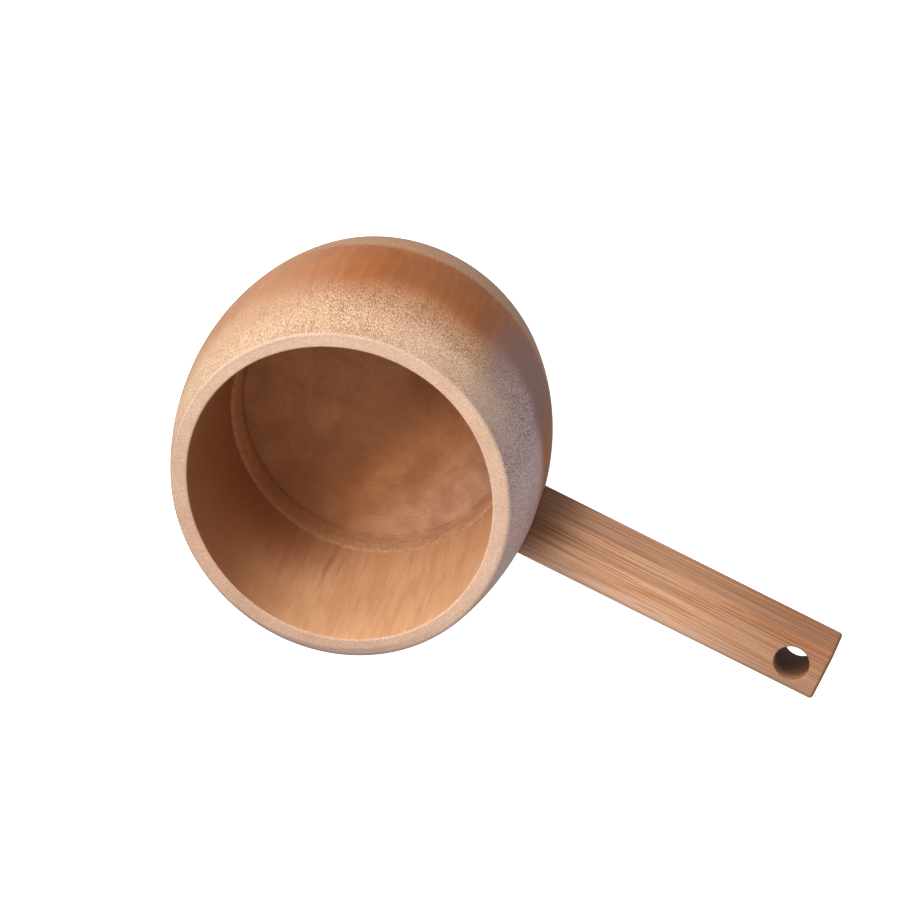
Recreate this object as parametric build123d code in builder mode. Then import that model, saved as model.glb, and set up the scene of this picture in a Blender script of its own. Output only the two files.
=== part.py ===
from build123d import *

import os

# A short-handled water dipper made of bamboo.
# The cup stands on its foot. The origin is the centre of the foot's underside,
# +Z points up out of the mouth, and the handle points along +X.

# Outside of the cup
cup_height = 58.0
belly_radius = 41.9
belly_height = 31.8
lip_draw_in = 3.3
foot_draw_in = 6.1
foot_round = 1.8
foot_ring_width = 10.8
recess_depth = 3.5
recess_round = 1.2

# Mouth and inside of the cup
lip_width = 3.6
lip_round_outside = 1.0
lip_round_inside = 0.5
bore_taper = 2.6
ledge_width = 0.4
node_wall_height = 6.0
node_taper = 0.9
floor_thickness = 9.6
floor_dish = 0.6

# Handle
handle_length = 72.3
handle_height = 27.8
handle_width = 13.0
handle_thickness = 13.0
handle_arris = 2.0
handle_end_round = 0.8
hang_hole_radius = 4.0
hang_hole_to_end = 7.6
hang_hole_round = 0.4

# Joint between the handle and the cup
dowel_radius = 3.0
dowel_in_cup = 6.0
dowel_in_handle = 14.0
dowel_chamfer = 0.5
dowel_fit = 0.1
dowel_end_gap = 0.5
cope_gap = 0.1

# How far a cut runs past the surface that it opens
overrun = 5.0

# Radii, heights and places along the handle that follow from the sizes above
lip_radius = belly_radius - lip_draw_in
mouth_radius = lip_radius - lip_width
foot_radius = belly_radius - foot_draw_in
recess_radius = foot_radius - foot_ring_width
floor_height = recess_depth + floor_thickness
ledge_height = floor_height + node_wall_height
ledge_outer_radius = mouth_radius - bore_taper
ledge_inner_radius = ledge_outer_radius - ledge_width
crease_radius = ledge_inner_radius - node_taper
cope_radius = belly_radius + cope_gap
cope_lip_radius = lip_radius + cope_gap
cope_foot_radius = foot_radius + cope_gap
dowel_cup_end = belly_radius - dowel_in_cup
dowel_handle_end = cope_radius + dowel_in_handle
handle_reach = belly_radius + handle_length
hang_hole_x = handle_reach - hang_hole_to_end

# The handle, the dowel and both of its sockets share one centre line, a little below the
# widest part of the belly. The sketches for them lie square to it.
handle_plane = Plane(origin=(0, 0, handle_height), x_dir=(0, 1, 0), z_dir=(1, 0, 0))


# Cup: half an outline turned about the upright axis. Outside, two arcs meet upright at
# the widest level. Inside, the boring narrows down to a ledge, and below it the wall of
# the bamboo's own node runs in to the floor, which is dished a little.
belly_point = (belly_radius, belly_height)
cope_point = (cope_radius, belly_height)
crease_point = (crease_radius, floor_height)
floor_centre = (0, floor_height - floor_dish)

with BuildPart() as cup_body:
    with BuildSketch(Plane.XZ):
        with BuildLine():
            TangentArc(floor_centre, crease_point, tangent=(1, 0))
            Polyline(
                crease_point,
                (ledge_inner_radius, ledge_height),
                (ledge_outer_radius, ledge_height),
                (mouth_radius, cup_height),
                (lip_radius, cup_height),
            )
            TangentArc(belly_point, (lip_radius, cup_height), tangent=(0, 1))
            TangentArc(belly_point, (foot_radius, 0), tangent=(0, -1))
            Polyline(
                (foot_radius, 0),
                (recess_radius, 0),
                (recess_radius, recess_depth),
                (0, recess_depth),
                floor_centre,
            )
        make_face()
    revolve(axis=Axis.Z)

    rings = cup_body.edges().filter_by(GeomType.CIRCLE)
    mouth_edge, lip_edge = rings.group_by(Axis.Z)[-1].sort_by(SortBy.RADIUS)
    recess_edge, foot_edge = rings.group_by(Axis.Z)[0].sort_by(SortBy.RADIUS)
    fillet(mouth_edge, radius=lip_round_inside)
    fillet(lip_edge, radius=lip_round_outside)
    fillet(foot_edge, radius=foot_round)
    fillet(recess_edge, radius=recess_round)

    # Blind socket for the dowel, drilled from outside
    with BuildSketch(handle_plane.offset(dowel_cup_end - dowel_end_gap)):
        Circle(dowel_radius + dowel_fit)
    extrude(amount=dowel_end_gap + dowel_in_cup + overrun, mode=Mode.SUBTRACT)


# Handle: a square bar with rounded arrises. Its root is hollowed to the curve of the
# belly, and the hole that it hangs by runs upright near the free end.
with BuildPart() as handle:
    with BuildSketch(handle_plane.offset(dowel_cup_end)):
        RectangleRounded(handle_width, handle_thickness, handle_arris)
    extrude(amount=handle_reach - dowel_cup_end)
    free_end = handle.faces().sort_by(Axis.X)[-1]
    fillet(free_end.edges(), radius=handle_end_round)

    # The cope: the outside of the cup, a glue line larger, turned and taken away
    with BuildSketch(Plane.XZ):
        with BuildLine():
            TangentArc(cope_point, (cope_lip_radius, cup_height), tangent=(0, 1))
            TangentArc(cope_point, (cope_foot_radius, 0), tangent=(0, -1))
            Polyline(
                (cope_lip_radius, cup_height),
                (0, cup_height),
                (0, 0),
                (cope_foot_radius, 0),
            )
        make_face()
    revolve(axis=Axis.Z, mode=Mode.SUBTRACT)

    with Locations((hang_hole_x, 0, handle_height + handle_thickness / 2)):
        Hole(hang_hole_radius, depth=handle_thickness)
    hang_hole_rims = handle.edges(Select.LAST).filter_by(GeomType.CIRCLE)
    fillet(hang_hole_rims, radius=hang_hole_round)

    # Blind socket for the dowel, drilled from the root
    with BuildSketch(handle_plane.offset(cope_radius - overrun)):
        Circle(dowel_radius + dowel_fit)
    extrude(amount=overrun + dowel_in_handle + dowel_end_gap, mode=Mode.SUBTRACT)


# Dowel: a plain round peg with chamfered ends, hidden inside the joint
with BuildPart() as joint_dowel:
    with BuildSketch(handle_plane.offset(dowel_cup_end)):
        Circle(dowel_radius)
    extrude(amount=dowel_handle_end - dowel_cup_end)
    chamfer(joint_dowel.edges().filter_by(GeomType.CIRCLE), length=dowel_chamfer)


cup_body.part.label = "cup_body"
handle.part.label = "handle"
joint_dowel.part.label = "joint_dowel"

os.makedirs("parts", exist_ok=True)
export_step(cup_body.part, "parts/cup_body.step")
export_step(handle.part, "parts/handle.step")
export_step(joint_dowel.part, "parts/joint_dowel.step")
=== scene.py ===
import math

import bmesh
import bpy
from mathutils import Matrix, Vector


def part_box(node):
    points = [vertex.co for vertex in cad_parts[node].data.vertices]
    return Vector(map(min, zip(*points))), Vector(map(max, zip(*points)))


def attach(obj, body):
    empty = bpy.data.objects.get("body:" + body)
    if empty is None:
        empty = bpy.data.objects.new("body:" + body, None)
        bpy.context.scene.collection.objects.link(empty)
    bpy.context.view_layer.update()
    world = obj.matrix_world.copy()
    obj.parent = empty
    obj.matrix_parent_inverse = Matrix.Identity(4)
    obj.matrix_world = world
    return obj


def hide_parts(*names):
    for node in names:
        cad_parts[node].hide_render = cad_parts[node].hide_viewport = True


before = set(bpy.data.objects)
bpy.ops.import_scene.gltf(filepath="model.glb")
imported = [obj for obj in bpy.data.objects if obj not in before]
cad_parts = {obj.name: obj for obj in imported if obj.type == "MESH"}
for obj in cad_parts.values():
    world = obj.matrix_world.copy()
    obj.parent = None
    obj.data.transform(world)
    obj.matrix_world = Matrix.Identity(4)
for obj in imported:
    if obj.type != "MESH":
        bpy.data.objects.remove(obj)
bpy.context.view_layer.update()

bl_info = {
    "name": "Bamboo water dipper",
    "version": (1, 0, 0),
    "blender": (4, 5, 0),
    "location": "View3D > Sidebar > Dipper",
    "description": "Builds a short-handled bamboo water dipper round its CAD solids",
    "category": "Object",
}

MM = 0.001
CUP_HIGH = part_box("cup_body")[1]
BAR_LOW, BAR_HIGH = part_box("handle")

# A full turn, and the direction of the cup's axis
FULL_TURN = 2 * math.pi
UP = (0, 0, 1)

# The mean belly is this much smaller than the solid's, so that its waves stay in the solid's box
BELLY_INSET = 0.2 * MM

# Points this close are one point, and places this close count as the same place
WELD = 0.001 * MM
NEAR = 0.01 * MM


class DipperSizes(bpy.types.PropertyGroup):
    """Sizes of the dipper. Those that the CAD solids show are read from them."""

    belly_radius: bpy.props.FloatProperty(
        name="Belly radius", description="Mean radius of the cup at its widest level",
        default=CUP_HIGH.y - BELLY_INSET, unit="LENGTH")
    belly_height: bpy.props.FloatProperty(
        name="Belly height", description="Level of the widest part",
        default=31.8 * MM, unit="LENGTH")
    cup_height: bpy.props.FloatProperty(
        name="Cup height", description="From the foot's underside to the lip",
        default=CUP_HIGH.z, unit="LENGTH")
    lip_radius: bpy.props.FloatProperty(
        name="Lip radius", description="Outer radius of the lip",
        default=38.7 * MM, unit="LENGTH")
    mouth_radius: bpy.props.FloatProperty(
        name="Mouth radius", description="Inner radius of the lip",
        default=35.0 * MM, unit="LENGTH")
    lip_round_outside: bpy.props.FloatProperty(
        name="Outer lip rounding", description="Rounding where the lip meets the outside",
        default=1.0 * MM, unit="LENGTH")
    lip_round_inside: bpy.props.FloatProperty(
        name="Inner lip rounding", description="Rounding where the lip meets the bore",
        default=0.5 * MM, unit="LENGTH")
    ledge_height: bpy.props.FloatProperty(
        name="Ledge height", description="Level where the boring ends in a small ledge",
        default=19.1 * MM, unit="LENGTH")
    ledge_radius: bpy.props.FloatProperty(
        name="Ledge radius", description="Radius of the bore at the ledge",
        default=32.4 * MM, unit="LENGTH")
    ledge_width: bpy.props.FloatProperty(
        name="Ledge width", description="How far the ledge stands in from the bore",
        default=0.4 * MM, unit="LENGTH")
    floor_height: bpy.props.FloatProperty(
        name="Floor height", description="Level of the crease round the floor",
        default=13.1 * MM, unit="LENGTH")
    crease_radius: bpy.props.FloatProperty(
        name="Crease radius", description="Radius of the crease round the floor",
        default=31.1 * MM, unit="LENGTH")
    floor_dish: bpy.props.FloatProperty(
        name="Floor dish", description="How far the middle of the floor lies below its crease",
        default=0.6 * MM, unit="LENGTH")
    foot_radius: bpy.props.FloatProperty(
        name="Foot radius", description="Radius of the outline at the foot, before its rounding",
        default=35.8 * MM, unit="LENGTH")
    foot_round: bpy.props.FloatProperty(
        name="Foot rounding", description="Rounding between the outside and the foot ring",
        default=1.8 * MM, unit="LENGTH")
    recess_radius: bpy.props.FloatProperty(
        name="Recess radius", description="Radius of the recess under the foot",
        default=25.0 * MM, unit="LENGTH")
    recess_depth: bpy.props.FloatProperty(
        name="Recess depth", description="Depth of the recess under the foot",
        default=3.5 * MM, unit="LENGTH")
    recess_round: bpy.props.FloatProperty(
        name="Recess rounding", description="Rounding of the recess at the foot ring",
        default=1.2 * MM, unit="LENGTH")
    bar_height: bpy.props.FloatProperty(
        name="Bar height", description="Level of the handle's centre line",
        default=(BAR_LOW.z + BAR_HIGH.z) / 2, unit="LENGTH")
    bar_width: bpy.props.FloatProperty(
        name="Bar width", description="Width of the handle",
        default=BAR_HIGH.y - BAR_LOW.y, unit="LENGTH")
    bar_thickness: bpy.props.FloatProperty(
        name="Bar thickness", description="Thickness of the handle",
        default=BAR_HIGH.z - BAR_LOW.z, unit="LENGTH")
    bar_reach: bpy.props.FloatProperty(
        name="Bar reach", description="From the cup's axis to the handle's free end",
        default=BAR_HIGH.x, unit="LENGTH")
    bar_arris: bpy.props.FloatProperty(
        name="Bar arris", description="Rounding of the handle's long edges",
        default=2.0 * MM, unit="LENGTH")
    bar_end_round: bpy.props.FloatProperty(
        name="Bar end rounding", description="Rounding round the handle's free end",
        default=0.8 * MM, unit="LENGTH")
    hole_radius: bpy.props.FloatProperty(
        name="Hanging hole radius", description="Radius of the hole near the handle's free end",
        default=4.0 * MM, unit="LENGTH")
    hole_to_end: bpy.props.FloatProperty(
        name="Hole to end", description="From the hole's axis to the handle's free end",
        default=7.6 * MM, unit="LENGTH")
    hole_round: bpy.props.FloatProperty(
        name="Hole rounding", description="Rounding of the hole's two rims",
        default=0.4 * MM, unit="LENGTH")
    glue_line: bpy.props.FloatProperty(
        name="Glue line", description="Gap between the handle's root and the belly",
        default=0.08 * MM, unit="LENGTH")


def colour(label, meaning, value):
    """A colour property of the finish, in linear light."""
    return bpy.props.FloatVectorProperty(
        name=label, description=meaning, default=value, size=3, subtype="COLOR", min=0.0, max=1.0)


def share(label, meaning, value):
    """A property of the finish that goes from 0 to 1."""
    return bpy.props.FloatProperty(
        name=label, description=meaning, default=value, min=0.0, max=1.0, subtype="FACTOR")


class DipperFinish(bpy.types.PropertyGroup):
    """Colours of the bamboo in linear light, and how rough and glossy it is."""

    pith: colour(
        "Pith", "Soft pale tissue where the turning cuts across the fibres", (0.78, 0.52, 0.33))
    fibre: colour("Fibre", "Fibre bundles round the pale tissue", (0.45, 0.25, 0.14))
    belly: colour(
        "Belly", "Smooth band where the turning runs along the fibres", (0.41, 0.125, 0.028))
    amber: colour("Amber", "Pale dashes next to the belly", (0.50, 0.22, 0.09))
    streak: colour("Streak", "Darkest streaks", (0.24, 0.08, 0.03))
    strip: colour("Strip", "Pale strip below the belly", (0.50, 0.275, 0.155))
    lip: colour("Lip", "Sanded end grain of the lip", (0.88, 0.57, 0.40))
    # Painted shade as well as wear: this grey is real wear on the foot ring, and painted shade on the
    # lip's outer edge and on the wall turned from the light
    wear_and_shade_grey: colour("Worn", "Edges and patches greyed by handling", (0.25, 0.185, 0.18))
    # Painted reflection: this mauve is the cool sheen of the pale room on the turned wall
    reflection_mauve: colour("Mauve", "Cool bloom on the turned wall beside the handle", (0.92, 0.64, 0.66))
    bore: colour("Bore", "Wall of the bore", (0.76, 0.42, 0.22))
    node: colour("Node", "Floor of the cup", (0.60, 0.28, 0.12))
    bar: colour("Bar", "Planed sides of the handle", (0.84, 0.43, 0.245))
    # Painted shadow: this brown is the cup's contact shadow on the handle's root and the shade deep in
    # the hanging hole
    shadow_brown: colour("Stain", "Stains at the handle's root and in its hole", (0.13, 0.05, 0.02))
    roughness: share("Roughness", "Roughness of the satin cup", 0.48)
    gloss: share("Gloss", "Strength of the satin cup's reflections", 0.26)
    bar_roughness: share("Bar roughness", "Roughness of the planed handle", 0.62)
    bar_gloss: share("Bar gloss", "Strength of the planed handle's reflections", 0.12)


# Outlines and the belly

class Outline:
    """Half an outline in the plane Y = 0, drawn by mesh operators from its first point."""

    def __init__(self, radius, height, axis_x=0.0):
        self.mesh = bmesh.new()
        self.axis_x = axis_x
        self.tip = self.mesh.verts.new((axis_x + radius, 0, height))

    def line(self, radius, height, parts=1):
        """A straight run to this radius and height, in equal parts."""
        step = (Vector((self.axis_x + radius, 0, height)) - self.tip.co) / parts
        for _ in range(parts):
            self.tip = bmesh.ops.extrude_vert_indiv(self.mesh, verts=[self.tip])["verts"][0]
            bmesh.ops.translate(self.mesh, verts=[self.tip], vec=step)

    def arc(self, centre, radius, height, parts):
        """An arc round centre (radius, height) to this radius and height, the short way round."""
        middle = Vector((self.axis_x + centre[0], 0, centre[1]))
        start = self.tip.co - middle
        end = Vector((self.axis_x + radius, 0, height)) - middle
        turn = math.atan2(start.z * end.x - start.x * end.z, start.dot(end))
        turned = bmesh.ops.spin(
            self.mesh, geom=[self.tip], cent=middle, axis=(0, 1, 0), angle=turn, steps=parts)
        self.tip = next(v for v in turned["geom_last"] if isinstance(v, bmesh.types.BMVert))

    def turn(self, steps):
        """The outline turned right round its axis, with its poles closed and its faces outwards."""
        bmesh.ops.spin(
            self.mesh, geom=self.mesh.verts[:] + self.mesh.edges[:], cent=(self.axis_x, 0, 0),
            axis=UP, angle=FULL_TURN, steps=steps, use_merge=True)
        close_mesh(self.mesh)
        return self.mesh


def close_mesh(mesh):
    """Welds the points that lie on each other, and turns the faces outwards."""
    bmesh.ops.remove_doubles(mesh, verts=mesh.verts[:], dist=WELD)
    bmesh.ops.recalc_face_normals(mesh, faces=mesh.faces[:])


def side_arc(sizes, end_radius, end_height, rounding):
    """The outside's arc from the belly to the lip or the foot, and the rounding that it runs into.

    The arc starts upright at the belly. Returned are the arc's centre, the rounding's centre and
    the two points where the rounding starts and ends, each as (radius, height)."""
    drop = sizes.belly_radius - end_radius
    rise = end_height - sizes.belly_height
    reach = (drop ** 2 + rise ** 2) / (2 * drop)
    centre = (sizes.belly_radius - reach, sizes.belly_height)
    inward = math.copysign(rounding, rise)
    round_height = end_height - inward
    span = math.sqrt((reach - rounding) ** 2 - (round_height - centre[1]) ** 2)
    round_centre = (centre[0] + span, round_height)
    stretch = reach / (reach - rounding)
    start = (centre[0] + span * stretch, centre[1] + (round_height - centre[1]) * stretch)
    return centre, round_centre, start, (round_centre[0], end_height)


def belly_radius_at(sizes, height):
    """Radius of the cup's outside at a level between the foot and the lip."""
    if height < sizes.belly_height:
        centre = side_arc(sizes, sizes.foot_radius, 0.0, 0.0)[0]
    else:
        centre = side_arc(sizes, sizes.lip_radius, sizes.cup_height, 0.0)[0]
    reach = sizes.belly_radius - centre[0]
    return centre[0] + math.sqrt(reach ** 2 - (height - centre[1]) ** 2)


# Waves of the culm

# A bamboo culm isn't truly round. Each wave is (waves round the cup, height in millimetres,
# angle from the handle in degrees), at the mouth, at the lip and at the belly.
MOUTH_WAVES = ((2, 0.70, -44.1), (3, 0.15, -57.5), (4, 0.10, -16.8))
LIP_WAVES = ((1, 0.30, -19.4), (2, 0.64, -44.3), (3, 0.18, 58.8))
BELLY_WAVES = ((2, 0.45, -55.4),)

# Share of the mouth's waves that is left at the ledge and below it
LEDGE_SHARE = 0.2


def wave(waves, angle):
    """How far a wavy ring stands out at this angle, in metres."""
    return sum(high * MM * math.cos(count * (angle - math.radians(crest)))
               for count, high, crest in waves)


def outside_wave(sizes, angle, height):
    """How far the outside stands out from its mean radius."""
    fade = max(height - sizes.belly_height, 0.0) / (sizes.cup_height - sizes.belly_height)
    return wave(LIP_WAVES, angle) * fade + wave(BELLY_WAVES, angle) * (1 - fade)


def bore_taper(sizes):
    """How much the bore's radius grows for each unit of height."""
    return (sizes.mouth_radius - sizes.ledge_radius) / (sizes.cup_height - sizes.ledge_height)


def make_wavy(mesh, sizes):
    """Moves the cup off the true circle, with the bore nearly round again at the ledge."""
    bore_depth = sizes.cup_height - sizes.ledge_height
    for vert in mesh.verts:
        radius = math.hypot(vert.co.x, vert.co.y)
        if radius < NEAR:
            continue
        angle = math.atan2(vert.co.y, vert.co.x)
        level = min(max(vert.co.z, 0.0), sizes.cup_height)
        below_lip = sizes.cup_height - level
        bore = sizes.mouth_radius - bore_taper(sizes) * below_lip
        outside = belly_radius_at(sizes, level)
        across = min(max((radius - bore) / (outside - bore), 0.0), 1.0)
        fade = max(LEDGE_SHARE, 1 - (1 - LEDGE_SHARE) * below_lip / bore_depth)
        near_axis = min(radius / sizes.crease_radius, 1.0)
        shift = (wave(MOUTH_WAVES, angle) * fade * near_axis * (1 - across)
                 + outside_wave(sizes, angle, level) * across)
        grown = (radius + shift) / radius
        vert.co.x *= grown
        vert.co.y *= grown


# The cup

# Steps round the cup, the depth of the groove in the floor's crease, and the radius of the arc
# that crowns the node's wall
CUP_STEPS = 256
CREASE_GROOVE = 0.2 * MM
NODE_WALL_CURVE = 26.0 * MM

# The ledge's inner edge is cut off by this much, inwards and downwards
LEDGE_SET_IN = 0.25 * MM
LEDGE_SET_DOWN = 0.35 * MM

# The recess's inner corner is rounded by this share of the rounding at the foot ring
INNER_CORNER = 0.6

# Places of the bore and the node among the cup's materials, after the shell
BORE_PLACE = 1
NODE_PLACE = 2


def draw_floor(pen, sizes):
    """The dished floor, and the fine groove at its crease."""
    dish_reach = (sizes.crease_radius ** 2 + sizes.floor_dish ** 2) / (2 * sizes.floor_dish)
    dish_centre = (0.0, sizes.floor_height - sizes.floor_dish + dish_reach)
    inner = sizes.crease_radius - 2 * CREASE_GROOVE
    level = dish_centre[1] - math.sqrt(dish_reach ** 2 - inner ** 2)
    pen.arc(dish_centre, inner, level, parts=14)
    pen.line(sizes.crease_radius - CREASE_GROOVE, level - CREASE_GROOVE)
    pen.line(sizes.crease_radius, sizes.floor_height + CREASE_GROOVE)


def draw_node_wall(pen, sizes):
    """The node's own wall, crowned a little, and the ledge above it."""
    ledge_inside = sizes.ledge_radius - sizes.ledge_width
    low = pen.tip.co.copy()
    high = Vector((ledge_inside - LEDGE_SET_IN, 0, sizes.ledge_height - LEDGE_SET_DOWN))
    half = (high - low) / 2
    off = math.sqrt(NODE_WALL_CURVE ** 2 - half.length ** 2)
    centre = low + half + Vector((half.z, 0, -half.x)).normalized() * off
    pen.arc((centre.x, centre.z), high.x, high.z, parts=8)
    pen.line(ledge_inside, sizes.ledge_height)
    pen.line(sizes.ledge_radius, sizes.ledge_height)


def draw_bore(pen, sizes):
    """The bore, widening up to the lip's inner rounding."""
    taper = bore_taper(sizes)
    slant = math.hypot(1, taper)
    rounding = sizes.lip_round_inside
    lip_level = sizes.cup_height - rounding
    round_radius = sizes.mouth_radius - taper * rounding + rounding * slant
    pen.line(round_radius - rounding / slant, lip_level + rounding * taper / slant, parts=16)
    pen.arc((round_radius, lip_level), round_radius, sizes.cup_height, parts=5)


def draw_outside(pen, sizes):
    """The flat lip and the two arcs of the outside, which meet upright at the belly."""
    centre, round_centre, start, end = side_arc(
        sizes, sizes.lip_radius, sizes.cup_height, sizes.lip_round_outside)
    pen.line(*end, parts=3)
    pen.arc(round_centre, *start, parts=8)
    pen.arc(centre, sizes.belly_radius, sizes.belly_height, parts=28)
    centre, round_centre, start, end = side_arc(sizes, sizes.foot_radius, 0.0, sizes.foot_round)
    pen.arc(centre, *start, parts=24)
    pen.arc(round_centre, *end, parts=8)


def draw_foot(pen, sizes):
    """The flat foot ring and the recess inside it, up to the axis."""
    edge = sizes.recess_radius + sizes.recess_round
    pen.line(edge, 0.0, parts=3)
    pen.arc((edge, sizes.recess_round), sizes.recess_radius, sizes.recess_round, parts=5)
    corner = INNER_CORNER * sizes.recess_round
    inside = sizes.recess_radius - corner
    pen.line(sizes.recess_radius, sizes.recess_depth - corner)
    pen.arc((inside, sizes.recess_depth - corner), inside, sizes.recess_depth, parts=4)
    pen.line(0.0, sizes.recess_depth, parts=6)


def cup_mesh(sizes):
    """The turned cup in one outline, from the middle of its floor to the middle of its underside."""
    pen = Outline(0.0, sizes.floor_height - sizes.floor_dish)
    for draw in (draw_floor, draw_node_wall, draw_bore, draw_outside, draw_foot):
        draw(pen, sizes)
    mesh = pen.turn(CUP_STEPS)
    under_floor = sizes.floor_height - 2 * sizes.floor_dish
    for face in mesh.faces:
        middle = face.calc_center_median()
        if middle.z > under_floor and middle.xy.length < sizes.mouth_radius:
            in_node = middle.z < sizes.ledge_height + NEAR
            face.material_index = NODE_PLACE if in_node else BORE_PLACE
    make_wavy(mesh, sizes)
    return mesh


# The handle

# Steps round the hanging hole
HOLE_STEPS = 64

# The root's sides are cut into strips of this length, this many on each half of a side, and its
# end face into rings of these widths, so that it can follow the belly
ROOT_STRIP_LENGTH = 3.0 * MM
ROOT_STRIPS = 5
ROOT_RINGS = (1.0 * MM, 1.6 * MM, 1.8 * MM)

# A face looks along the bar where its normal has more than this share of the bar's direction
LOOKS_ALONG = 0.5


def round_edges(mesh, edges, rounding, segments):
    """Rounds these edges of the bar."""
    bmesh.ops.bevel(
        mesh, geom=edges, offset=rounding, offset_type="OFFSET", affect="EDGES",
        segments=segments, profile=0.5, material=-1)


def hole_mesh(sizes, bottom, top):
    """The hanging hole's wall: a rounded rim, the bore and the other rim, about its own axis."""
    rounding = sizes.hole_round
    rim = sizes.hole_radius + rounding
    pen = Outline(rim, top, sizes.bar_reach - sizes.hole_to_end)
    pen.arc((rim, top - rounding), sizes.hole_radius, top - rounding, parts=4)
    pen.line(sizes.hole_radius, bottom + rounding, parts=6)
    pen.arc((rim, bottom + rounding), rim, bottom, parts=4)
    return pen.turn(HOLE_STEPS)


def drill_hole(mesh, sizes):
    """Puts the hanging hole's wall into the bar, and fills the two pierced sides anew round it."""
    bottom = sizes.bar_height - sizes.bar_thickness / 2
    top = sizes.bar_height + sizes.bar_thickness / 2
    hole = hole_mesh(sizes, bottom, top)
    data = bpy.data.meshes.new("hole")
    hole.to_mesh(data)
    hole.free()
    mesh.from_mesh(data)
    bpy.data.meshes.remove(data)
    for level in (top, bottom):
        flat = [f for f in mesh.faces if lies_at(f, level)]
        bmesh.ops.delete(mesh, geom=flat, context="FACES_ONLY")
        edges = [e for e in mesh.edges if e.is_boundary and lies_at(e, level)]
        bmesh.ops.triangle_fill(mesh, use_beauty=True, edges=edges)


def lies_at(part, level):
    """Whether an edge or a face lies flat at this level."""
    return all(abs(vert.co.z - level) < NEAR for vert in part.verts)


def split_faces(mesh, faces, point, normal):
    """Cuts these faces along a plane."""
    parts = dict.fromkeys(faces)
    for face in faces:
        parts.update(dict.fromkeys(face.edges))
        parts.update(dict.fromkeys(face.verts))
    bmesh.ops.bisect_plane(mesh, geom=list(parts), plane_co=point, plane_no=normal)


def cope_root(mesh, sizes):
    """Cuts the root into strips and rings, and hollows it to the belly, a glue line away."""
    root = sizes.belly_radius
    cut = root + ROOT_STRIP_LENGTH
    split_faces(mesh, mesh.faces[:], (cut, 0, 0), (1, 0, 0))
    flat_half = sizes.bar_width / 2 - sizes.bar_arris
    for step in range(1 - ROOT_STRIPS, ROOT_STRIPS):
        reach = step / ROOT_STRIPS * flat_half
        for point, normal in (((0, reach, 0), (0, 1, 0)), ((0, 0, sizes.bar_height + reach), UP)):
            sides = [f for f in mesh.faces
                     if f.calc_center_median().x < cut and abs(f.normal.x) < LOOKS_ALONG]
            split_faces(mesh, sides, point, normal)

    # Faces of the hole's wall look the same way, but the end face is the largest of them
    end_faces = (f for f in mesh.faces if f.normal.x < -LOOKS_ALONG)
    end_face = max(end_faces, key=lambda face: face.calc_area())
    for width in ROOT_RINGS:
        bmesh.ops.inset_region(mesh, faces=[end_face], thickness=width, use_even_offset=True)
    bmesh.ops.poke(mesh, faces=[end_face])
    for vert in mesh.verts:
        if vert.co.x < root + NEAR:
            angle = math.asin(vert.co.y / root)
            belly = belly_radius_at(sizes, vert.co.z) + outside_wave(sizes, angle, vert.co.z)
            vert.co.x = math.sqrt(belly ** 2 - vert.co.y ** 2) + sizes.glue_line


def bar_mesh(sizes):
    """The handle: a square bar with rounded arrises, a hanging hole and a root coped to the belly."""
    length = sizes.bar_reach - sizes.belly_radius
    middle = (sizes.belly_radius + length / 2, 0, sizes.bar_height)
    mesh = bmesh.new()
    bmesh.ops.create_cube(mesh, size=1.0)
    bmesh.ops.scale(mesh, verts=mesh.verts[:], vec=(length, sizes.bar_width, sizes.bar_thickness))
    bmesh.ops.translate(mesh, verts=mesh.verts[:], vec=middle)
    arrises = [e for e in mesh.edges if abs(e.verts[0].co.x - e.verts[1].co.x) > NEAR]
    round_edges(mesh, arrises, sizes.bar_arris, segments=8)
    free_end = [e for e in mesh.edges if all(v.co.x > sizes.bar_reach - NEAR for v in e.verts)]
    round_edges(mesh, free_end, sizes.bar_end_round, segments=4)
    drill_hole(mesh, sizes)
    cope_root(mesh, sizes)
    close_mesh(mesh)
    return mesh


# Putting a piece into the scene

# Corners sharper than this stay sharp
SHARP_CORNER = math.radians(34)


def finish_piece(name, mesh, materials, node):
    """A mesh as a piece of the dipper: smooth, with its sharp corners kept, in place of its node."""
    for face in mesh.faces:
        face.smooth = True
    for edge in mesh.edges:
        if len(edge.link_faces) == 2 and edge.calc_face_angle() > SHARP_CORNER:
            edge.smooth = False
    data = bpy.data.meshes.new(name)
    mesh.to_mesh(data)
    mesh.free()
    for material in materials:
        data.materials.append(material)
    piece = bpy.data.objects.new(name, data)
    bpy.context.scene.collection.objects.link(piece)
    weighted = piece.modifiers.new("Even shading", "WEIGHTED_NORMAL")
    weighted.keep_sharp = True
    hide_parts(node)
    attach(piece, "root")


# Tools for the finishes

# The finishes count in millimetres. FLAT leaves the height out of a distance, and FIBRES_ALONG_X
# lays the fibres, which run along Z in the culm, along the bar.
FLAT = (1.0, 1.0, 0.0)
FIBRES_ALONG_X = (0, math.radians(-90), 0)

# How far the fibre bundles lie from an even pattern, as a share, and how many rings the turning
# leaves in a millimetre
BUNDLE_DISORDER = 0.8
RINGS = 1.3

# Depth of the relief of the fibres and of the node's clouds and rings, in metres
FIBRE_RELIEF = 0.02 * MM
NODE_RELIEF = 0.05 * MM


def mm(length):
    """A length in millimetres, as the finishes count it."""
    return length / MM


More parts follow.
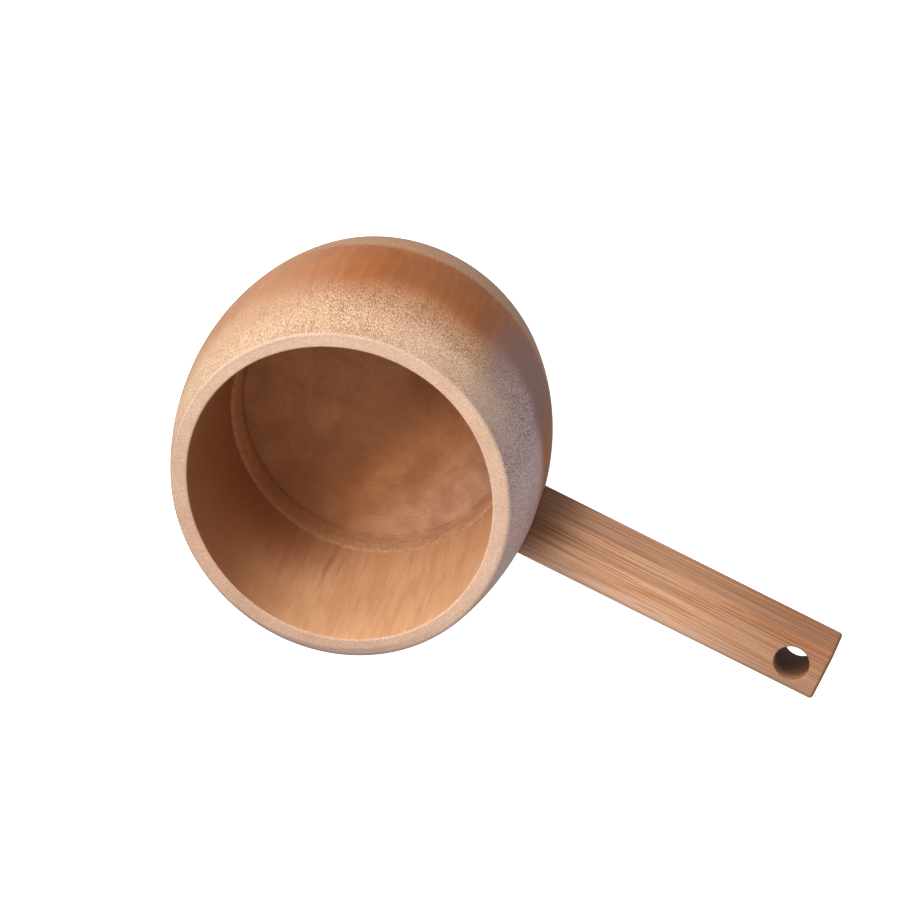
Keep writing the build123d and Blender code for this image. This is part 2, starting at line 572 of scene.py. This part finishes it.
class Desk:
    """A material's node tree. Most calls add nodes and return the output that is wanted."""

    def __init__(self, name):
        self.material = bpy.data.materials.new(name)
        self.material.use_nodes = True
        self.tree = self.material.node_tree
        self.tree.nodes.clear()

    def add(self, kind, sockets, out=0, **settings):
        """One node, with each of its sockets linked or set, and each of its settings set."""
        node = self.tree.nodes.new(kind)
        for key, value in settings.items():
            setattr(node, key, value)
        for key, value in sockets.items():
            if isinstance(value, bpy.types.NodeSocket):
                self.tree.links.new(value, node.inputs[key])
            else:
                node.inputs[key].default_value = value
        return node.outputs[out]

    def show(self, shade):
        """The finished material, with the shader on its surface."""
        surface = self.tree.nodes.new("ShaderNodeOutputMaterial")
        self.tree.links.new(shade, surface.inputs["Surface"])
        return self.material

    def plus(self, a, b):
        """The sum of two numbers."""
        return self.add("ShaderNodeMath", {0: a, 1: b}, operation="ADD")

    def times(self, first, *others):
        """The product of the numbers, for shares that hold only together."""
        for other in others:
            first = self.add("ShaderNodeMath", {0: first, 1: other}, operation="MULTIPLY")
        return first

    def vector(self, operation, a, b):
        """Two places or directions added, subtracted or multiplied."""
        return self.add("ShaderNodeVectorMath", {0: a, 1: b}, operation=operation)

    def along(self, place, direction):
        """How far place lies along a direction."""
        return self.add(
            "ShaderNodeVectorMath", {0: place, 1: direction}, "Value", operation="DOT_PRODUCT")

    def distance(self, place, point, stretch=(1.0, 1.0, 1.0)):
        """How far place lies from a point, with each axis counted stretch times."""
        away = self.vector("SUBTRACT", place, point)
        away = self.vector("MULTIPLY", away, stretch)
        return self.add("ShaderNodeVectorMath", {0: away}, "Value", operation="LENGTH")

    def change(self, value, first, last, start, end):
        """Goes from start to end in a soft step, while value goes from first to last."""
        return self.add(
            "ShaderNodeMapRange",
            {"Value": value, "From Min": first, "From Max": last, "To Min": start, "To Max": end},
            interpolation_type="SMOOTHSTEP")

    def rise(self, value, first, last, most=1.0):
        """A share that rises from 0 to most, while value goes from first to last."""
        return self.change(value, first, last, 0.0, most)

    def fall(self, value, first, last, most=1.0):
        """A share that falls from most to 0, while value goes from first to last."""
        return self.change(value, first, last, most, 0.0)

    def blend(self, part, a, b):
        """Colour a turning to colour b as part goes from 0 to 1."""
        a, b = (c if isinstance(c, bpy.types.NodeSocket) else (*c, 1.0) for c in (a, b))
        return self.add("ShaderNodeMix", {0: part, 6: a, 7: b}, 2, data_type="RGBA")

    def noise(self, place, waves, detail=2.0, rough=0.5, out="Fac"):
        """Soft noise with this many waves in a millimetre."""
        return self.add(
            "ShaderNodeTexNoise",
            {"Vector": place, "Scale": waves, "Detail": detail, "Roughness": rough}, out)

    def fibres(self, place, across, along, detail=2.0, rough=0.5):
        """Soft noise drawn out along Z, with these many waves in a millimetre across and along."""
        drawn = self.vector("MULTIPLY", place, (across, across, along))
        return self.noise(drawn, 1.0, detail, rough)

    def bundles(self, place, spacing, length):
        """Distance from the nearest fibre bundle, as a share of their spacing.

        A bundle is length times as long as the bundles are apart."""
        squeezed = self.vector(
            "MULTIPLY", place, (1 / spacing, 1 / spacing, 1 / (spacing * length)))
        return self.add(
            "ShaderNodeTexVoronoi",
            {"Vector": squeezed, "Scale": 1.0, "Randomness": BUNDLE_DISORDER}, "Distance")

    def wander(self, place, wave_length, sway):
        """place swaying to and fro by up to sway across the fibres."""
        drift = self.noise(place, 1 / wave_length, 1.0, out="Color")
        drift = self.vector("SUBTRACT", drift, (0.5, 0.5, 0.5))
        drift = self.vector("MULTIPLY", drift, (2 * sway, 2 * sway, 0.0))
        return self.vector("ADD", place, drift)


class BambooDesk(Desk):
    """The node tree of a bamboo finish, with the dipper's sizes and colours at hand."""

    def __init__(self, name, sizes, finish):
        super().__init__(name)
        self.sizes = sizes
        self.finish = finish
        self.place = self.grain((0, 0, 0), (0, 0, 0))

    def grain(self, turn, shift):
        """Place in millimetres, turned so that the bamboo's fibres run along Z, and shifted."""
        place = self.add("ShaderNodeTexCoord", {}, "Object")
        return self.add(
            "ShaderNodeMapping",
            {"Vector": place, "Location": shift, "Rotation": turn, "Scale": (1 / MM,) * 3})

    def towards(self, side, first, last, most):
        """A share that rises from 0 to most, from first to last millimetres towards a side."""
        return self.rise(self.along(self.place, side), first, last, most)

    def radius(self):
        """Distance from the cup's axis."""
        return self.distance(self.place, (0, 0, 0), FLAT)

    def rings(self, height=0.0):
        """Rings round the cup's axis, as the turning leaves them."""
        turned = self.add("ShaderNodeCombineXYZ", {"X": self.radius(), "Z": height})
        return self.noise(turned, RINGS)

    def wood(self, base, rough, height, depth, gloss):
        """Satin bamboo: its colour, roughness, relief with this depth, and gloss."""
        relief = self.add(
            "ShaderNodeBump", {"Height": height, "Distance": depth, "Strength": 1.0})
        shade = self.add(
            "ShaderNodeBsdfPrincipled",
            {"Base Color": base, "Roughness": rough, "Normal": relief,
             "Specular IOR Level": gloss})
        return self.show(shade)


# Finish of the cup

# Sides of the cup, as directions from its axis: where its bamboo is darker, where painted shade,
# painted reflection, painted sheen and painted light lie, and the side away from the light. The
# handle points along +X. The floor's painted shade and painted light change in the direction
# ACROSS_FLOOR.
HANDLE_SIDE = (1.0, 0.0, 0.0)
DARK_SIDE = (0.25, 0.97, 0.0)
SHADE_AND_REFLECTION_SIDE = (0.90, 0.42, 0.0)
SHEEN_SIDE = (0.30, 0.95, 0.0)
LIT_SIDE = (-1.0, 0.1, 0.0)
SIDE_AWAY_FROM_LIGHT = (-0.17, -0.98, 0.0)
SHADED_SIDE = (-0.906, -0.42, 0.0)
ACROSS_FLOOR = (0.904, -0.425, 0.0)

# Middles of a patch of painted shade outside and of a corner of painted shade inside
SHADE_PATCH = (27.0, 32.0, 40.0)
SHADED_CORNER = (-8.0, -30.0, 22.0)

# The patch of painted shade is twice as high as it is wide
SHADE_PATCH_STRETCH = (1.0, 1.0, 0.5)

# Share of the gloss that is left on the belly, where the cut along the fibres is dull
BELLY_GLOSS = 0.3

# The pale dashes are rougher than the ground by this much, and this high against its streaks
DASH_ROUGHNESS = 0.12
DASH_RELIEF = 0.6

# Share of its own tones that the node's wall takes on above the floor's
NODE_WALL_SHARE = 0.75


def shell_ground(desk, level, tone, streak):
    """The shell's colour between its dashes: redder towards the belly, with long faint streaks."""
    finish = desk.finish
    belly = mm(desk.sizes.belly_height)
    ground = desk.blend(tone, finish.belly, finish.fibre)
    ground = desk.blend(desk.rise(streak, 0.35, 0.65, most=0.46), ground, finish.streak)
    dark = desk.times(
        desk.towards(DARK_SIDE, 28.0, 41.0, most=0.30),
        desk.fall(level, belly + 1.2, belly + 8.2),
        desk.rise(level, belly - 16.8, belly - 8.8))
    return desk.blend(dark, ground, finish.streak)


def shell_painted_light(desk, level, specks, base):
    """Painted light on the shell: painted shade, painted reflection, painted sheen and painted light,
    each on its own side of the cup.
    """
    finish = desk.finish
    belly = mm(desk.sizes.belly_height)
    # Painted shade: a grey patch on the turned wall, where it turns from the light
    grey = desk.distance(desk.place, SHADE_PATCH, SHADE_PATCH_STRETCH)
    base = desk.blend(desk.fall(grey, 8.0, 19.0, most=0.55), base, finish.wear_and_shade_grey)
    # Painted shade and painted reflection on the side away from the light: grey ground, mauve specks
    cool = desk.times(
        desk.towards(SHADE_AND_REFLECTION_SIDE, 29.0, 41.0, most=0.55),
        desk.rise(level, belly - 0.8, belly + 6.2))
    base = desk.blend(cool, base, desk.blend(specks, finish.wear_and_shade_grey, finish.reflection_mauve))
    # Painted reflection: mauve low on the wall beside the handle
    handle_side_reflection = desk.times(
        desk.towards(HANDLE_SIDE, 31.0, 36.0, most=0.25),
        desk.rise(level, belly - 1.8, belly + 4.2))
    base = desk.blend(handle_side_reflection, base, finish.reflection_mauve)
    # Painted sheen: the lip's pale colour high on the turned wall
    painted_sheen = desk.times(
        desk.towards(SHEEN_SIDE, 30.0, 38.0, most=0.27),
        desk.rise(level, belly + 13.2, belly + 19.2))
    base = desk.blend(painted_sheen, base, finish.lip)
    # Painted light: pale pith colour towards the side that faces the light
    return desk.blend(desk.towards(LIT_SIDE, 17.0, 42.0, most=0.30), base, finish.pith)


def shell_strip(desk, height, slow, spot, base):
    """The pale strip under the belly, level with the node, with a ragged upper edge."""
    finish = desk.finish
    node = mm(desk.sizes.floor_height)
    edge = desk.plus(height, desk.change(slow, 0.3, 0.7, -0.5, 0.5))
    edge = desk.plus(edge, desk.change(spot, 0.35, 0.65, -0.9, 0.9))
    strip = desk.blend(desk.rise(spot, 0.4, 0.65, most=0.40), finish.strip, finish.streak)
    return desk.blend(desk.fall(edge, node - 0.2, node + 1.3), base, strip)


def shell_underside(desk, height, base):
    """The underside: faint rings left by the turning, and the foot ring rubbed grey."""
    finish = desk.finish
    recess = mm(desk.sizes.recess_depth)
    rings = desk.times(
        desk.rise(height, recess + 0.5, recess - 0.3),
        desk.rise(desk.rings(), 0.40, 0.65, most=0.30))
    base = desk.blend(rings, base, finish.streak)
    return desk.blend(desk.rise(height, 1.6, 0.1, most=0.35), base, finish.wear_and_shade_grey)


def shell_lip(desk, height, spot, base):
    """The lip's sanded end grain, darker towards the side away from the light, with painted shade in
    grey on its outer edge there.
    """
    finish = desk.finish
    top = mm(desk.sizes.cup_height)
    rim = mm(desk.sizes.lip_radius)
    lip = desk.blend(desk.rise(spot, 0.42, 0.60, most=0.48), finish.lip, finish.fibre)
    # Darker towards the side away from the light
    lip = desk.blend(desk.towards(SIDE_AWAY_FROM_LIGHT, -5.0, 38.0, most=0.20), lip, finish.streak)
    base = desk.blend(desk.rise(height, top - 0.45, top - 0.08), base, lip)
    # Painted shade: the lip's outer edge grey, most on the side away from the light
    wear_and_shade_grey = desk.times(
        desk.rise(desk.radius(), rim - 1.3, rim - 0.5),
        desk.rise(height, top - 3.5, top - 0.8),
        desk.change(desk.along(desk.place, SIDE_AWAY_FROM_LIGHT), 10.0, 34.0, 0.12, 0.55))
    return desk.blend(wear_and_shade_grey, base, finish.wear_and_shade_grey)


def shell_material(sizes, finish):
    """The turned outside and lip: speckled where the cut crosses the fibres, smooth at the belly."""
    desk = BambooDesk("turned_shell", sizes, finish)
    belly = mm(sizes.belly_height)
    wavy = desk.wander(desk.place, wave_length=9.0, sway=0.35)
    height = desk.along(desk.place, UP)
    slow = desk.noise(desk.place, 0.04)
    level = desk.plus(height, desk.change(slow, 0.3, 0.7, -2.0, 2.0))

    # Short pale dashes from the lip down to the belly, where the turning runs along the fibres
    spot = desk.fibres(wavy, across=5.6, along=1.2, detail=1.0, rough=0.3)
    specks = desk.fall(spot, 0.43, 0.55)
    pale = desk.times(specks, desk.rise(level, belly + 0.2, belly + 10.2))
    tone = desk.rise(level, belly + 1.2, belly + 22.2)
    streak = desk.fibres(wavy, across=0.8, along=0.02, detail=3.0)
    ground = shell_ground(desk, level, tone, streak)
    base = desk.blend(pale, ground, desk.blend(tone, finish.amber, finish.pith))

    base = shell_painted_light(desk, level, specks, base)
    base = shell_strip(desk, height, slow, spot, base)
    base = shell_underside(desk, height, base)
    base = shell_lip(desk, height, spot, base)
    cloud = desk.noise(desk.place, 0.11, detail=3.0, rough=0.55)
    base = desk.blend(desk.rise(cloud, 0.35, 0.75, most=0.14), base, finish.streak)

    rough = desk.change(pale, 0.0, 1.0, finish.roughness, finish.roughness + DASH_ROUGHNESS)
    relief = desk.plus(desk.times(pale, DASH_RELIEF), streak)
    gloss = desk.change(level, belly - 1.8, belly + 8.2, BELLY_GLOSS * finish.gloss, finish.gloss)
    return desk.wood(base, rough, relief, FIBRE_RELIEF, gloss)


def corner_shade(desk):
    """Share of the painted shade in a low corner of the cup, beside the floor."""
    return desk.fall(desk.distance(desk.place, SHADED_CORNER), 2.0, 24.0, most=0.70)


def bore_material(sizes, finish):
    """The bored wall inside the cup: cloudy, with a few thin dark streaks along the fibres, and
    painted shade.
    """
    desk = BambooDesk("bored_wall", sizes, finish)
    wavy = desk.wander(desk.place, wave_length=20.0, sway=0.8)
    fine = desk.fibres(wavy, across=1.3, along=0.02, detail=3.0)
    thin = desk.fibres(wavy, across=0.7, along=0.012)
    swirl = desk.wander(desk.place, wave_length=8.0, sway=2.0)
    cloud = desk.fibres(swirl, across=0.22, along=0.03, detail=4.0, rough=0.6)
    base = desk.blend(desk.rise(cloud, 0.35, 0.65, most=0.45), finish.bore, finish.node)
    base = desk.blend(desk.rise(fine, 0.35, 0.70, most=0.15), base, finish.streak)
    where = desk.rise(desk.noise(desk.place, 0.05), 0.45, 0.65)
    lines = desk.times(desk.rise(thin, 0.54, 0.70, most=0.38), where)
    base = desk.blend(lines, base, finish.streak)
    # Painted shade on the wall that faces away from the light
    base = desk.blend(desk.towards(SHADED_SIDE, 7.0, 29.0, most=0.82), base, finish.streak)
    # Painted shade in the low corner
    base = desk.blend(corner_shade(desk), base, finish.streak)
    return desk.wood(base, finish.roughness, fine, FIBRE_RELIEF, finish.gloss)


def floor_tones(desk):
    """The floor's colour: a painted band of shade across it, and a painted pool of light beyond the
    band, where light falls in through the mouth.
    """
    finish = desk.finish
    over = desk.along(desk.place, ACROSS_FLOOR)
    # Painted shade: a dark band across the floor
    band = desk.times(
        desk.change(over, -6.0, 1.0, 0.12, 0.52),
        desk.change(over, 6.0, 15.0, 1.0, 0.1))
    base = desk.blend(band, finish.node, finish.streak)
    # Painted light: paler beyond the band, where light falls in through the mouth
    return desk.blend(desk.rise(over, 14.0, 29.0, most=0.52), base, finish.lip)


def node_wall_tones(desk, swirl, ring):
    """The paler wall round the floor, mottled and ringed."""
    finish = desk.finish
    mottle = desk.noise(swirl, 0.9, detail=3.0, rough=0.6)
    wall = desk.blend(desk.rise(ring, 0.35, 0.65, most=0.30), finish.bore, finish.streak)
    return desk.blend(desk.rise(mottle, 0.35, 0.62, most=0.75), wall, finish.fibre)


def node_material(sizes, finish):
    """The floor and wall of the bamboo's own node: cloudy, with faint rings left by the turning, and
    with painted shade and painted light.
    """
    desk = BambooDesk("node_floor", sizes, finish)
    crease = mm(sizes.floor_height)
    height = desk.along(desk.place, UP)
    swirl = desk.wander(desk.place, wave_length=7.0, sway=2.5)
    cloud = desk.noise(swirl, 0.12, detail=5.0, rough=0.62)
    ring = desk.rings(height)
    base = floor_tones(desk)
    base = desk.blend(desk.rise(cloud, 0.32, 0.68, most=0.44), base, finish.streak)
    base = desk.blend(desk.rise(ring, 0.45, 0.7, most=0.14), base, finish.streak)
    wall = desk.rise(height, crease, crease + 1.1)
    base = desk.blend(desk.times(wall, NODE_WALL_SHARE), base, node_wall_tones(desk, swirl, ring))
    # Painted shade on the wall that faces away from the light
    base = desk.blend(desk.towards(SHADED_SIDE, 18.0, 32.0, most=0.25), base, finish.streak)
    # Painted shade in the low corner
    base = desk.blend(corner_shade(desk), base, finish.streak)
    ring_depth = desk.change(wall, 0.0, 1.0, 0.5, 2.0)
    relief = desk.plus(cloud, desk.times(ring, ring_depth))
    return desk.wood(base, finish.roughness, relief, NODE_RELIEF, finish.gloss)


# Finish of the handle and the peg

# The handle's side that gets painted shade, and the side across from it, which gets painted light
SHADED_BAR_SIDE = (0.0, 1.0, 0.0)
LIT_BAR_SIDE = (0.0, -1.0, 0.0)

# Where in the fibre pattern the handle and the peg lie
BAR_SHIFT = (3.0, 5.0, 0.0)
PEG_SHIFT = (40.0, 21.0, 0.0)


def bar_fibres(desk, wavy, hair, streak):
    """Streaks, dark and light hair lines, fine specks and a few long dark fibre bundles."""
    finish = desk.finish
    speck = desk.fibres(wavy, across=6.0, along=1.2, detail=0.0)
    line = desk.bundles(wavy, spacing=0.8, length=24.0)
    where = desk.rise(desk.fibres(wavy, across=0.35, along=0.03, detail=1.0), 0.42, 0.62)
    base = desk.blend(desk.rise(streak, 0.40, 0.66, most=0.30), finish.bar, finish.streak)
    base = desk.blend(desk.rise(hair, 0.50, 0.60, most=0.62), base, finish.belly)
    base = desk.blend(desk.rise(hair, 0.50, 0.36, most=0.70), base, finish.pith)
    base = desk.blend(desk.rise(speck, 0.45, 0.65, most=0.20), base, finish.fibre)
    lines = desk.times(desk.fall(line, 0.08, 0.26, most=0.85), where)
    return desk.blend(lines, base, finish.streak)


def bar_sides(desk, base):
    """Painted light on one half, painted shade on the other half and its side face, darker towards the
    free end, and darker at the end face: its end grain, with painted shade.
    """
    finish = desk.finish
    side = mm(desk.sizes.bar_width / 2)
    end = mm(desk.sizes.bar_reach)
    # Painted light from the pale room: paler on this half
    base = desk.blend(desk.towards(LIT_BAR_SIDE, 0.0, side - 0.5, most=0.40), base, finish.lip)
    # Painted shade: darker on this half and its side face
    base = desk.blend(desk.towards(SHADED_BAR_SIDE, 1.0, side - 0.1, most=0.36), base, finish.streak)
    base = desk.blend(desk.towards(HANDLE_SIDE, end - 44.2, end - 2.2, most=0.46), base, finish.streak)
    # Darker at the end face: its end grain, with painted shade
    return desk.blend(desk.towards(HANDLE_SIDE, end - 0.9, end - 0.2, most=0.55), base, finish.streak)


def bar_painted_shade(desk, base):
    """Painted contact shadow of the cup on the handle's root, and painted shade inside the hanging
    hole, darkest deep in it.
    """
    sizes = desk.sizes
    shadow_brown = desk.finish.shadow_brown
    side = mm(sizes.bar_width / 2)
    belly = mm(sizes.belly_radius)
    # Painted contact shadow of the cup on the root, reaching farther on one side
    across = desk.along(desk.place, SHADED_BAR_SIDE)
    slanted = desk.change(across, 0.5 - side, side - 2.5, 5.0, -2.0)
    root = desk.plus(desk.along(desk.place, HANDLE_SIDE), slanted)
    base = desk.blend(desk.fall(root, belly + 0.3, belly + 12.3, most=0.75), base, shadow_brown)

    # Painted shade in the hanging hole, darker deeper down
    top = mm(sizes.bar_height + sizes.bar_thickness / 2)
    wall = mm(sizes.hole_radius)
    hole_axis = (mm(sizes.bar_reach - sizes.hole_to_end), 0.0, 0.0)
    hole = desk.distance(desk.place, hole_axis, FLAT)
    hole_shade = desk.change(desk.along(desk.place, UP), top - 3.8, top - 0.3, 0.85, 0.30)
    return desk.blend(desk.times(desk.fall(hole, wall + 0.02, wall + 0.25), hole_shade), base, shadow_brown)


def bar_material(name, sizes, finish, shift):
    """The planed handle and the peg: hair lines and streaks along the bar, painted shade in the hole
    and a painted shadow at the root.
    """
    desk = BambooDesk(name, sizes, finish)
    wavy = desk.wander(desk.grain(FIBRES_ALONG_X, shift), wave_length=25.0, sway=0.25)
    hair = desk.fibres(wavy, across=3.1, along=0.035, detail=1.0)
    streak = desk.fibres(wavy, across=0.6, along=0.012, detail=3.0, rough=0.6)
    base = bar_fibres(desk, wavy, hair, streak)
    base = bar_sides(desk, base)
    base = bar_painted_shade(desk, base)
    relief = desk.plus(streak, hair)
    return desk.wood(base, finish.bar_roughness, relief, FIBRE_RELIEF, finish.bar_gloss)


# The stage: floor, lights and camera

# The floor lies a hair below the foot, so that their faces don't flicker into each other. It
# reaches this far to each side, and glows so that it shows as plain white.
FLOOR_DROP = 0.2 * MM
FLOOR_REACH = 6.0
FLOOR_COLOUR = (0.92, 0.92, 0.92, 1.0)
FLOOR_ROUGHNESS = 0.9
FLOOR_GLOW = (1.0, 1.0, 1.0, 1.0)

# Each soft box is a name, its power in watts, and its direction as shares of the view's right,
# up and back. Both have the same distance and the same size.
SOFT_BOXES = (("front_box", 12.0, (-0.40, 0.40, 0.82)),
              ("side_box", 8.0, (-0.65, 0.72, 0.25)))
BOX_DISTANCE = 1.2
BOX_SIZE = 0.7
SKY_COLOUR = (0.88, 0.94, 1.0, 1.0)
SKY_STRENGTH = 0.56

# The photograph's view: a very long lens, tilted from the cup's axis, rolled, and turned a
# little about the axis. It is placed from the middle of the mouth, which lies left of the
# picture's centre and below it.
VIEW_TILT = math.radians(27.2)
VIEW_ROLL = math.radians(24.76)
VIEW_TURN = math.radians(1.96)
VIEW_DISTANCE = 8.83
VIEW_LENS = 1600.0
VIEW_SENSOR = 36.0
VIEW_NEAREST = 1.0
VIEW_FARTHEST = 40.0
MOUTH_LEFT = 24.38 * MM
MOUTH_BELOW = 9.53 * MM


def floor_material():
    """A pale floor that glows plain white."""
    desk = Desk("pale_floor")
    shade = desk.add(
        "ShaderNodeBsdfPrincipled",
        {"Base Color": FLOOR_COLOUR, "Roughness": FLOOR_ROUGHNESS,
         "Emission Color": FLOOR_GLOW, "Emission Strength": 1.0})
    return desk.show(shade)


def make_floor():
    """A plain pale floor, wide enough to fill the view."""
    mesh = bmesh.new()
    bmesh.ops.create_grid(mesh, x_segments=1, y_segments=1, size=FLOOR_REACH)
    data = bpy.data.meshes.new("floor")
    mesh.to_mesh(data)
    mesh.free()
    data.materials.append(floor_material())
    floor = bpy.data.objects.new("floor", data)
    floor.visible_diffuse = False
    floor.visible_glossy = False
    bpy.context.scene.collection.objects.link(floor)
    floor.location.z = -FLOOR_DROP


def view_axes():
    """The view's directions to the right, upwards and back towards the camera."""
    back = Vector((0, math.sin(VIEW_TILT), math.cos(VIEW_TILT)))
    right = Matrix.Rotation(VIEW_ROLL, 3, back) @ Vector((1, 0, 0))
    turn = Matrix.Rotation(VIEW_TURN, 3, UP)
    back = turn @ back
    right = turn @ right
    return right, back.cross(right), back


def make_soft_box(name, power, away, target):
    """A square soft light that shines at target, from the direction away of it."""
    lamp = bpy.data.lights.new(name, "AREA")
    lamp.shape = "SQUARE"
    lamp.size = BOX_SIZE
    lamp.energy = power
    light = bpy.data.objects.new(name, lamp)
    light.location = target + away * BOX_DISTANCE
    light.rotation_euler = away.to_track_quat("Z", "Y").to_euler()
    bpy.context.scene.collection.objects.link(light)


def make_lights(sizes):
    """Two soft boxes at the upper left of the view, and a pale, cool room."""
    target = Vector((0, 0, sizes.belly_height))
    for name, power, shares in SOFT_BOXES:
        away = sum((axis * part for axis, part in zip(view_axes(), shares)), Vector())
        make_soft_box(name, power, away.normalized(), target)
    world = bpy.data.worlds.new("pale_room")
    world.use_nodes = True
    sky = world.node_tree.nodes["Background"]
    sky.inputs["Color"].default_value = SKY_COLOUR
    sky.inputs["Strength"].default_value = SKY_STRENGTH
    bpy.context.scene.world = world


def make_camera(sizes):
    """The camera, looking down into the mouth at an angle, with the handle to the lower right."""
    right, up, back = view_axes()
    lens = bpy.data.cameras.new("photo_lens")
    lens.lens = VIEW_LENS
    lens.sensor_width = VIEW_SENSOR
    lens.clip_start = VIEW_NEAREST
    lens.clip_end = VIEW_FARTHEST
    camera = bpy.data.objects.new("camera", lens)
    mouth = Vector((0, 0, sizes.cup_height))
    spot = mouth + right * MOUTH_LEFT + up * MOUTH_BELOW + back * VIEW_DISTANCE
    pose = Matrix((right, up, back)).transposed().to_4x4()
    camera.matrix_world = Matrix.Translation(spot) @ pose
    bpy.context.scene.collection.objects.link(camera)
    bpy.context.scene.camera = camera
    bpy.context.scene.view_settings.view_transform = "Standard"


# Operators and panel

class DIPPER_OT_cup(bpy.types.Operator):
    """Makes the turned cup"""

    bl_idname = "dipper.cup"
    bl_label = "Make the cup"

    def execute(self, context):
        sizes = context.scene.dipper_sizes
        finish = context.scene.dipper_finish
        materials = [make(sizes, finish) for make in (shell_material, bore_material, node_material)]
        finish_piece("turned_cup", cup_mesh(sizes), materials, "cup_body")
        return {"FINISHED"}


class DIPPER_OT_handle(bpy.types.Operator):
    """Makes the bar handle, and finishes the peg that joins it to the cup"""

    bl_idname = "dipper.handle"
    bl_label = "Make the handle"

    def execute(self, context):
        sizes = context.scene.dipper_sizes
        finish = context.scene.dipper_finish
        planed = bar_material("planed_bar", sizes, finish, BAR_SHIFT)
        finish_piece("bar_handle", bar_mesh(sizes), [planed], "handle")
        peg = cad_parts["joint_dowel"]
        peg.data.materials.clear()
        peg.data.materials.append(bar_material("plain_peg", sizes, finish, PEG_SHIFT))
        return {"FINISHED"}


class DIPPER_OT_stage(bpy.types.Operator):
    """Sets the floor, the lights and the camera"""

    bl_idname = "dipper.stage"
    bl_label = "Set the stage"

    def execute(self, context):
        make_floor()
        make_lights(context.scene.dipper_sizes)
        make_camera(context.scene.dipper_sizes)
        return {"FINISHED"}


class DIPPER_PT_panel(bpy.types.Panel):
    """Lists the dipper's steps, sizes and finish"""

    bl_idname = "DIPPER_PT_panel"
    bl_label = "Bamboo water dipper"
    bl_space_type = "VIEW_3D"
    bl_region_type = "UI"
    bl_category = "Dipper"

    def draw(self, context):
        layout = self.layout
        for step in STEPS:
            layout.operator(step.bl_idname)
        for group in (context.scene.dipper_sizes, context.scene.dipper_finish):
            box = layout.box()
            for name in group.__annotations__:
                box.prop(group, name)


STEPS = (DIPPER_OT_cup, DIPPER_OT_handle, DIPPER_OT_stage)
CLASSES = (DipperSizes, DipperFinish, *STEPS, DIPPER_PT_panel)


def register():
    for each in CLASSES:
        bpy.utils.register_class(each)
    bpy.types.Scene.dipper_sizes = bpy.props.PointerProperty(type=DipperSizes)
    bpy.types.Scene.dipper_finish = bpy.props.PointerProperty(type=DipperFinish)


def unregister():
    del bpy.types.Scene.dipper_finish
    del bpy.types.Scene.dipper_sizes
    for each in reversed(CLASSES):
        bpy.utils.unregister_class(each)


def main():
    register()
    bpy.ops.dipper.cup()
    bpy.ops.dipper.handle()
    bpy.ops.dipper.stage()


if __name__ == "__main__":
    main()
